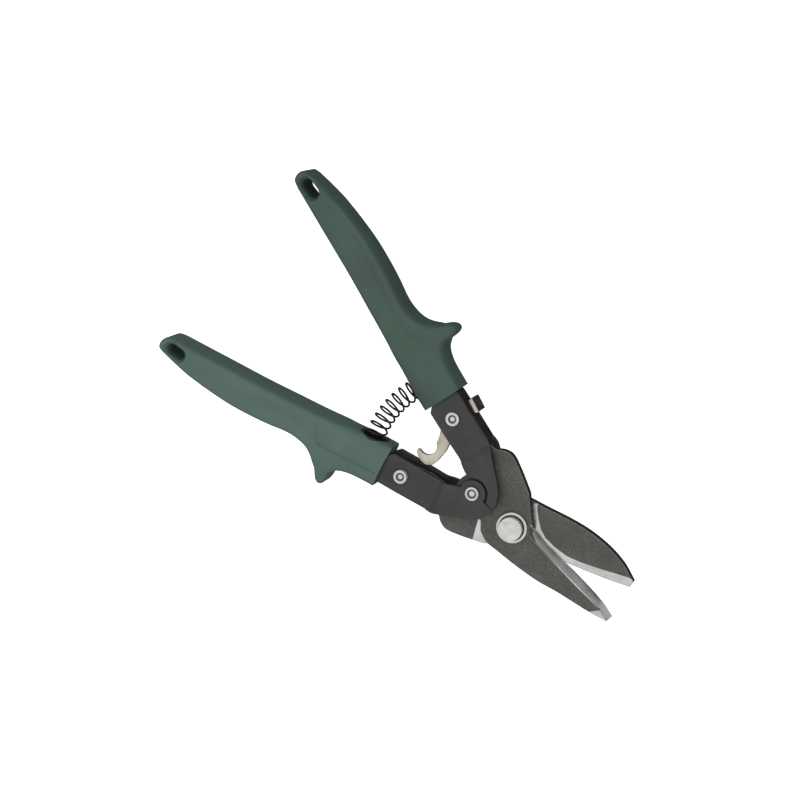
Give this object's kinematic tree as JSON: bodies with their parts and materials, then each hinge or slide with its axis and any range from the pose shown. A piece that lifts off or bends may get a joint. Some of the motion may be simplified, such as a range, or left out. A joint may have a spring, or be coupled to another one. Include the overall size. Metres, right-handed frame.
{
  "type": "aviation snips",
  "caption": "Compound-action sheet metal snips with two sleeved handles, a bowed return spring, a hook latch and crossing blades on one pivot bolt.",
  "frame": {"origin": "on the main pivot bolt's axis, at the flat end that lies in the resting plane", "axes": "+X towards the blade tips, +Y towards the upper handle, +Z along the pivot bolt towards its head"},
  "size_m": [0.2455, 0.1152, 0.02],
  "materials": {
    "grip_sleeve": "matte",
    "black_frame": "satin",
    "blade_steel": "satin",
    "bright_steel": "satin",
    "latch_nickel": "polished",
    "spring_steel": "satin",
    "black_plastic": "satin"
  },
  "bodies": {
    "upper_handle": {"upper_handle_frame": "black_frame", "upper_grip": "grip_sleeve", "upper_spring_cup": "black_plastic", "upper_tang_rivet": "bright_steel", "upper_rivet_washer": "bright_steel", "latch_washer": "bright_steel", "handle_rivet": "bright_steel", "return_spring": "spring_steel"},
    "lower_handle": {"lower_handle_frame": "black_frame", "lower_grip": "grip_sleeve", "lower_spring_cup": "black_plastic", "lower_tang_rivet": "bright_steel", "lower_rivet_washer": "bright_steel", "tang_spacer": "bright_steel"},
    "front_jaw": {"front_blade": "blade_steel", "pivot_bolt": "bright_steel", "front_washer": "bright_steel", "rear_washer": "bright_steel", "pivot_nut": "bright_steel"},
    "rear_jaw": {"rear_blade": "blade_steel"},
    "latch": {"latch_lever": "latch_nickel"}
  },
  "joints": [
    {"name": "handle_squeeze", "type": "hinge", "parent": "upper_handle", "child": "lower_handle", "pos_m": [-0.024, 0, 0.01], "axis": [0, 0, -1], "range_deg": [0, 30], "stiffness_Nm_per_rad": 0.6, "springref_deg": -8.59, "deforming": ["return_spring"]},
    {"name": "front_jaw_pivot", "type": "hinge", "parent": "upper_handle", "child": "front_jaw", "pos_m": [-0.0541, 0.0191, 0.01], "axis": [0, 0, -1], "range_deg": [0, 6.3]},
    {"name": "rear_jaw_pivot", "type": "hinge", "parent": "lower_handle", "child": "rear_jaw", "pos_m": [-0.0541, -0.0191, 0.01], "axis": [0, 0, 1], "range_deg": [0, 6.3]},
    {"name": "latch_swing", "type": "hinge", "parent": "upper_handle", "child": "latch", "pos_m": [-0.0541, 0.0191, 0.01], "axis": [0, 0, -1], "range_deg": [0, 13.6]}
  ],
  "couplings": [
    {"joint": "front_jaw_pivot", "follows": "handle_squeeze", "ratio": 0.2087},
    {"joint": "rear_jaw_pivot", "follows": "handle_squeeze", "ratio": 0.2087}
  ]
}
